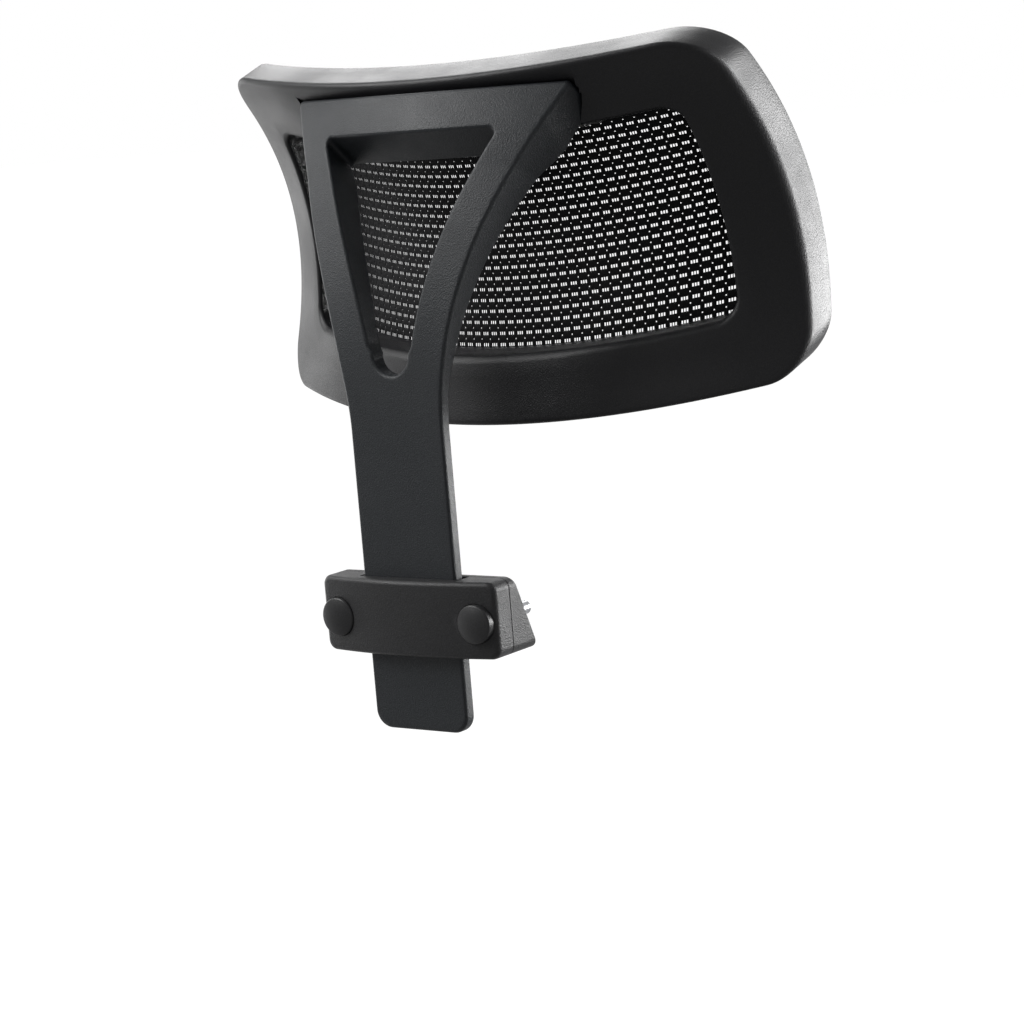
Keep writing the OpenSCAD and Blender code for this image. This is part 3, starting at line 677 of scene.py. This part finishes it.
def build_mesh():
    """The knitted mesh: real openings, crossed by threads, on the headrest's saddle surface."""
    cols, rows = lattice_columns(), lattice_rows()
    half = WINDOW_HALF_LOW + MESH_LAP + SPARE
    top, low = WINDOW_TOP + MESH_LAP + SPARE, WINDOW_LOW - MESH_LAP - SPARE
    xs, x_kinds = [-half], []
    while xs[-1] < half:
        for w, kind in cols:
            xs.append(xs[-1] + w)
            x_kinds.append(kind)
    zs, z_kinds = [low], []
    while zs[-1] < top:
        for h, kind in rows:
            zs.append(zs[-1] + h)
            z_kinds.append(kind)
    bm = bmesh.new()
    mesh_mid = HEAD_T - REBATE_T + LAY_GAP + PANEL_HALF_T
    verts = {}

    def corner(i, j):
        if (i, j) not in verts:
            x, z = xs[i], zs[j]
            distance, q, side = nearest_on_edge(x, z)
            outside = side * EDGE_SIGN < 0
            if outside:
                x, z = q
            verts[i, j] = (bm.verts.new(on_head(x, z, mesh_mid)), outside and distance > WELD)
        return verts[i, j]

    for i, xk in enumerate(x_kinds):
        for j, zk in enumerate(z_kinds):
            if (xk == "slot" and zk == "slot") or (xk == "dot" and zk == "dot"):
                continue
            four = [corner(i, j), corner(i + 1, j), corner(i + 1, j + 1), corner(i, j + 1)]
            if all(out for _, out in four):
                continue
            bm.faces.new([v for v, _ in four])
    bmesh.ops.remove_doubles(bm, verts=bm.verts, dist=WELD)
    bmesh.ops.dissolve_degenerate(bm, edges=bm.edges, dist=WELD)
    bmesh.ops.delete(bm, geom=[v for v in bm.verts if not v.link_faces], context="VERTS")
    o = make_object("mesh_knit", bm, YARN)
    thick = o.modifiers.new("yarn", "SOLIDIFY")
    thick.thickness, thick.offset = YARN_T * MM, 0.0
    return o


# ---- Clamp ----
def clamp_block(name, rear, front, rear_r, front_r):
    """A rounded block. rear(x, z) and front(x, z) give the y of its two faces."""
    w = CLAMP_W / 2
    corners = [Vector(p) for p in ((-w, CLAMP_TOP), (w, CLAMP_TOP), (w, CLAMP_LOW), (-w, CLAMP_LOW))]
    outline = []
    for i, here in enumerate(corners):
        outline += turn_corner(corners[i - 1], here, corners[(i + 1) % 4], CLAMP_ROUND, 8)
    bm = flat_plate([outline], True, rear_r, front_r, np.linspace(-40, 40, 33), (-8.0, 0.0, 8.0))
    for v in bm.verts:
        x, y, z = v.co
        v.co.y = rear(x, z) + y if y < FRONT_SIDE / 2 else front(x, z) - (FRONT_SIDE - y)
    return make_object(name, bm, CLAMP_BLACK)


def finish_clamp(o):
    sharpen(o, 42)
    return weigh_normals(o)


def build_cover():
    bow_mid = COVER_EDGE_Y + math.sqrt(COVER_BOW_R ** 2 - (CLAMP_W / 2) ** 2)
    o = clamp_block("cover_shell", lambda x, z: bow_mid - math.sqrt(COVER_BOW_R ** 2 - x * x),
                    lambda x, z: BASE_Y, COVER_EDGE_R, JOINT_EDGE_R)
    cut(o, brick((-CHANNEL_W / 2, STEM_Y - SLIT, -FAR), (CHANNEL_W / 2, FAR, FAR)))
    for s in (-1, 1):
        at = (s * SCREW_X, 0, 0)
        cut(o, tube(CAP_R + CAP_GAP, -FAR, CAP_SEAT_Y, "y", at=at))
        cut(o, tube(WASHER_POCKET_R, -FAR, HEAD_SEAT_Y, "y", at=at))
        cut(o, tube(COVER_HOLE_R, -FAR, 1, "y", at=at))
    return finish_clamp(o)


def build_base():
    o = clamp_block("base_wedge", lambda x, z: BASE_Y, lambda x, z: -math.tan(SEAT_SLOPE) * z,
                    JOINT_EDGE_R, BASE_EDGE_R)
    for half, deep in SPRING_ROOM:
        cut(o, brick((-half, BASE_Y - 1, SPRING_Z - SPRING_H / 2 - 0.5),
                     (half, BASE_Y + deep, SPRING_Z + SPRING_H / 2 + 0.5)))
    cut(o, tube(STOP_HOLE_R, BASE_Y - 1, BASE_Y + STOP_HOLE_D, "y", at=(0, 0, STOP_PIN_Z)))
    for s in (-1, 1):
        cut(o, tube(RELIEF_R, RELIEF_Y, PAST_SEAT, "y", at=(s * SCREW_X, 0, 0)))
        cut(o, tube(BASE_HOLE_R, BASE_Y - 1, PAST_SEAT, "y", at=(s * SCREW_X, 0, 0)))
    return finish_clamp(o)


def build_cap(s):
    """A low domed cap with a rounded rim and a skirt round the screw head."""
    dome_r = (CAP_R ** 2 + CAP_DOME ** 2) / (2 * CAP_DOME)
    dome = []
    for r in np.linspace(0, CAP_R - 0.7, 12):
        dome.append((r, CAP_RIM_Y - CAP_DOME + dome_r - math.sqrt(dome_r ** 2 - r * r)))
    rim_y = dome[-1][1]
    edge = [(CAP_R - 0.35, rim_y + 0.12), (CAP_R - 0.1, rim_y + 0.4), (CAP_R, rim_y + 0.8)]
    skirt = [(CAP_R, CAP_SEAT_Y), (SKIRT_OUT, CAP_SEAT_Y), (SKIRT_OUT, CAP_SEAT_Y + SKIRT_H),
             (SKIRT_IN, CAP_SEAT_Y + SKIRT_H), (SKIRT_IN, CAP_SEAT_Y), (0, CAP_SEAT_Y)]
    bm = bmesh.new()
    profile = [bm.verts.new((r, y, 0)) for r, y in dome + edge + skirt]
    edges = [bm.edges.new(pair) for pair in zip(profile, profile[1:])]
    bmesh.ops.spin(bm, geom=profile + edges, axis=(0, 1, 0), cent=(0, 0, 0), dvec=(0, 0, 0),
                   angle=2 * math.pi, steps=72, use_duplicate=False)
    bmesh.ops.remove_doubles(bm, verts=bm.verts, dist=1e-4)
    for v in bm.verts:
        v.co.x += s * SCREW_X
    o = make_object("screw_cap_left" if s < 0 else "screw_cap_right", bm, CAP_BLACK)
    sharpen(o, 50)
    return o


# ---- Camera, light and floor ----
CAMERA_AT = (755.8, -964.6, 230.2)
CAMERA_RIGHT, CAMERA_UP = (0.80902, 0.58206, -0.08180), (-0.02426, 0.17212, 0.98478)
LENS, SENSOR_W = 100.08, 36.0
BRIGHT_SIDE = (-0.59, 0.80, 0.1)
FLOOR_HALF, FLOOR_DROP = 20000, 330


def place_camera():
    camera = bpy.data.cameras.new("camera")
    camera.lens, camera.sensor_width = LENS, SENSOR_W
    camera.clip_start, camera.clip_end = 0.05, 60.0
    o = bpy.data.objects.new("camera", camera)
    bpy.context.scene.collection.objects.link(o)
    right, up = Vector(CAMERA_RIGHT), Vector(CAMERA_UP)
    back = right.cross(up)
    turn = Matrix((right, up, back)).transposed()
    o.matrix_world = Matrix.Translation(Vector(CAMERA_AT) * MM) @ turn.to_4x4()
    bpy.context.scene.camera = o


def softbox(name, at, towards, size, power, spread=180):
    light = bpy.data.lights.new(name, "AREA")
    light.shape, light.size, light.size_y = "RECTANGLE", size[0], size[1]
    light.energy, light.spread = power, math.radians(spread)
    o = bpy.data.objects.new(name, light)
    o.location = at
    o.rotation_euler = (Vector(towards) - Vector(at)).to_track_quat("-Z", "Y").to_euler()
    o.visible_camera = False
    bpy.context.scene.collection.objects.link(o)


def build_world():
    """White to the eye, and a soft tent of light that is bright behind and dim on the near side."""
    world = bpy.data.worlds.new("studio")
    world.use_nodes = True
    nodes, links = world.node_tree.nodes, world.node_tree.links
    bg = nodes["Background"]
    bg.inputs["Color"].default_value = (1, 1, 1, 1)
    coords = nodes.new("ShaderNodeTexCoord")
    side = nodes.new("ShaderNodeVectorMath")
    side.operation = "DOT_PRODUCT"
    side.inputs[1].default_value = BRIGHT_SIDE
    links.new(coords.outputs["Generated"], side.inputs[0])
    glow = nodes.new("ShaderNodeMapRange")
    glow.interpolation_type = "SMOOTHSTEP"
    glow.inputs["From Min"].default_value, glow.inputs["From Max"].default_value = -0.45, 0.6
    glow.inputs["To Min"].default_value, glow.inputs["To Max"].default_value = 0.22, 0.6
    links.new(side.outputs["Value"], glow.inputs["Value"])
    seen = nodes.new("ShaderNodeLightPath")
    pick = nodes.new("ShaderNodeMix")
    links.new(seen.outputs["Is Camera Ray"], pick.inputs["Factor"])
    links.new(glow.outputs["Result"], pick.inputs["A"])
    pick.inputs["B"].default_value = 1.0
    links.new(pick.outputs["Result"], bg.inputs["Strength"])
    bpy.context.scene.world = world


def build_floor():
    """A plain pale floor under the part, wide enough to meet the white backdrop."""
    bm = bmesh.new()
    bmesh.ops.create_grid(bm, x_segments=2, y_segments=2, size=FLOOR_HALF)
    for v in bm.verts:
        v.co.z -= FLOOR_DROP
    m, nodes, links, bsdf = new_material("floor_pale")
    coords = nodes.new("ShaderNodeTexCoord")
    cloud = noise(nodes, links, coords, 0.002, 3.0, 0.5)
    links.new(mix_colour(nodes, links, cloud.outputs["Fac"], (0.14, 0.14, 0.14), (0.18, 0.18, 0.18)),
              bsdf.inputs["Base Color"])
    bsdf.inputs["Roughness"].default_value = 0.9
    bsdf.inputs["Emission Color"].default_value = (1, 1, 1, 1)
    bsdf.inputs["Emission Strength"].default_value = 0.93
    o = make_object("floor", bm, m)
    o.visible_diffuse, o.visible_glossy = False, False


place_camera()
build_world()
build_floor()
bpy.context.scene.view_settings.view_transform = "Standard"
softbox("band_right", (0.78, 0.95, 0.10), (0.13, 0.06, 0.20), (0.9, 0.4), 2.9, 60)
softbox("band_top", (-0.50, 0.75, 0.95), (0.06, 0.06, 0.20), (0.8, 0.8), 9)
softbox("wing_left", (-1.20, 0.20, 0.10), (-0.12, 0.06, 0.16), (0.7, 0.8), 3.1)
softbox("bar_high", (-0.70, -0.70, 0.95), (0.0, 0.0, 0.18), (0.8, 0.8), 12)

# ---- Pieces, each on its body ----
bracket = build_bracket()
for ear in (build_knuckle(-1), build_knuckle(1)):
    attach(ear, "bracket")
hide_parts("y_bracket")
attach(bracket, "bracket")

shell = build_frame()
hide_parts("headrest_frame")
carrier = ring_mesh("carrier_ring", carrier_section, FRAME_BLACK)
sharpen(carrier, 50)
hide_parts("mesh_carrier")
spline = ring_mesh("spline_ring", spline_section, SPLINE_BLACK)
sharpen(spline, 50)
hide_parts("mesh_spline")
knit = build_mesh()
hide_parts("mesh_panel")
for piece, slot in ((shell, "frame_plastic"), (carrier, "frame_plastic"),
                    (spline, "spline_plastic"), (knit, "mesh_fabric")):
    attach(piece, "headrest")

cover, base = build_cover(), build_base()
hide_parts("clamp_cover")
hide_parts("clamp_base")
caps = [build_cap(-1), build_cap(1)]
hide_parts("cap_left")
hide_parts("cap_right")
for piece in (cover, base):
    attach(piece, "clamp")
for piece in caps:
    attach(piece, "clamp")

# The hardware keeps its CAD shape, with its own finish.
FINISH = {
    STEEL: ("clamp_screw_left", "clamp_screw_right", "clamp_washers", "spring_screws", "stop_pin",
            "pivot_pin_left", "pivot_pin_right"),
    SPRING_STEEL: ("leaf_spring", "friction_washer_left", "friction_washer_right"),
    SLIDE_GREY: ("stem_guide_left", "stem_guide_right", "pressure_pad", "pivot_bush_left",
                 "pivot_bush_right"),
}
for material, names in FINISH.items():
    for name in names:
        node = frame["nodes"][name]
        node.data.materials.clear()
        node.data.materials.append(material)
